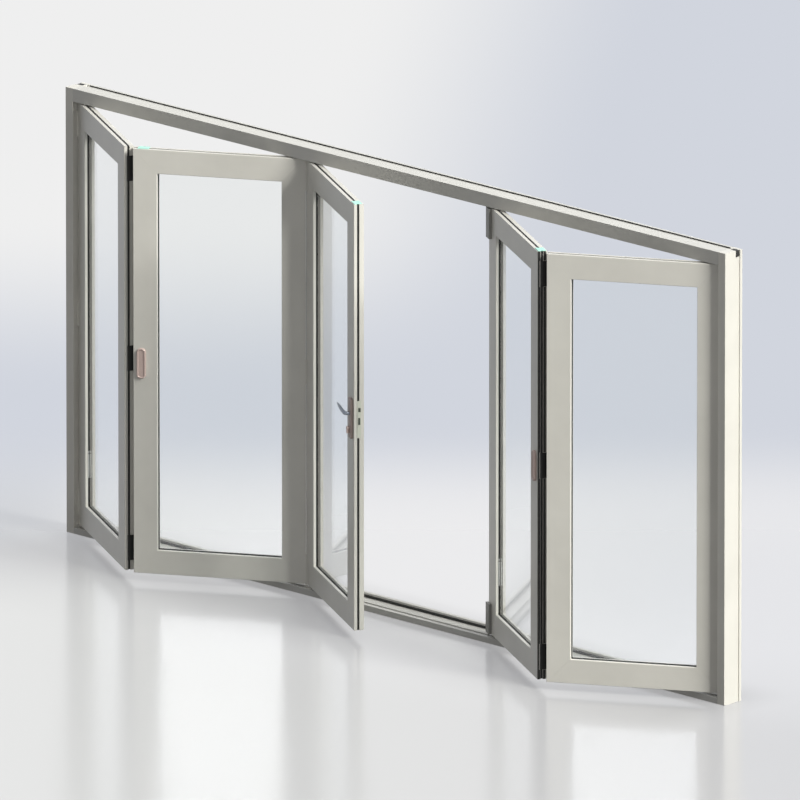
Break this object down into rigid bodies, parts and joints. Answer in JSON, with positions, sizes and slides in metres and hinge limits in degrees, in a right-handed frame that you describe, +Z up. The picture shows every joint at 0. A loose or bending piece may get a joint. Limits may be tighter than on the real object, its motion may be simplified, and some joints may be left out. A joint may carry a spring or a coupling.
{
  "type": "bifold glass patio door",
  "caption": "Glazed bifold patio door in an outer frame, part folded: sets of hinged framed panels fold to both sides of an open doorway, with a lever handle on the lead panel.",
  "frame": {"origin": "middle of the sill's underside, halfway along the door and halfway through the outer frame", "axes": "+X along the door, to the right as seen from the side the panels fold to; -Y towards that side; +Z up"},
  "size_m": [4.129, 0.5021, 2.1],
  "materials": {
    "powder_coat": "satin powder coat",
    "black_hinge": "satin black",
    "bronze_plate": "satin rose bronze",
    "satin_nickel": "satin nickel",
    "black_rubber": "matt extruded rubber",
    "clear_glass": "clear polished float glass",
    "mint_cap": "smooth moulded plastic",
    "hinge_metal": "satin grey"
  },
  "bodies": {
    "root": {"frame_head": "powder_coat", "frame_left_jamb": "powder_coat", "frame_right_jamb": "powder_coat", "frame_sill": "powder_coat", "left_bottom_guide": "powder_coat", "left_fold_hinge_lower": "black_hinge", "left_fold_hinge_middle": "black_hinge", "left_fold_hinge_upper": "black_hinge", "left_jamb_hinge_lower": "powder_coat", "left_jamb_hinge_middle": "powder_coat", "left_jamb_hinge_upper": "powder_coat", "left_pull": "bronze_plate", "left_top_carrier": "powder_coat", "left_track_hinge_middle": "powder_coat", "lock_faceplate": "satin_nickel", "outer_backplate": "bronze_plate", "outer_lever": "satin_nickel", "panel_1_bottom_rail": "powder_coat", "panel_1_gasket": "black_rubber", "panel_1_glass": "clear_glass", "panel_1_left_stile": "powder_coat", "panel_1_right_stile": "powder_coat", "panel_1_top_rail": "powder_coat", "panel_2_bottom_rail": "powder_coat", "panel_2_gasket": "black_rubber", "panel_2_glass": "clear_glass", "panel_2_left_stile": "powder_coat", "panel_2_right_stile": "powder_coat", "panel_2_top_cap": "mint_cap", "panel_2_top_rail": "powder_coat", "panel_3_bottom_rail": "powder_coat", "panel_3_gasket": "black_rubber", "panel_3_glass": "clear_glass", "panel_3_left_stile": "powder_coat", "panel_3_right_stile": "powder_coat", "panel_3_top_cap": "mint_cap", "panel_3_top_rail": "powder_coat", "panel_4_bottom_rail": "powder_coat", "panel_4_gasket": "black_rubber", "panel_4_glass": "clear_glass", "panel_4_left_stile": "powder_coat", "panel_4_right_stile": "powder_coat", "panel_4_top_cap": "mint_cap", "panel_4_top_rail": "powder_coat", "panel_5_bottom_rail": "powder_coat", "panel_5_gasket": "black_rubber", "panel_5_glass": "clear_glass", "panel_5_left_stile": "powder_coat", "panel_5_right_stile": "powder_coat", "panel_5_top_rail": "powder_coat", "right_bottom_guide": "hinge_metal", "right_fold_hinge_lower": "black_hinge", "right_fold_hinge_middle": "black_hinge", "right_fold_hinge_upper": "black_hinge", "right_jamb_hinge_lower": "powder_coat", "right_jamb_hinge_middle": "powder_coat", "right_jamb_hinge_upper": "powder_coat", "right_pull": "bronze_plate", "right_top_carrier": "hinge_metal"}
  },
  "joints": []
}
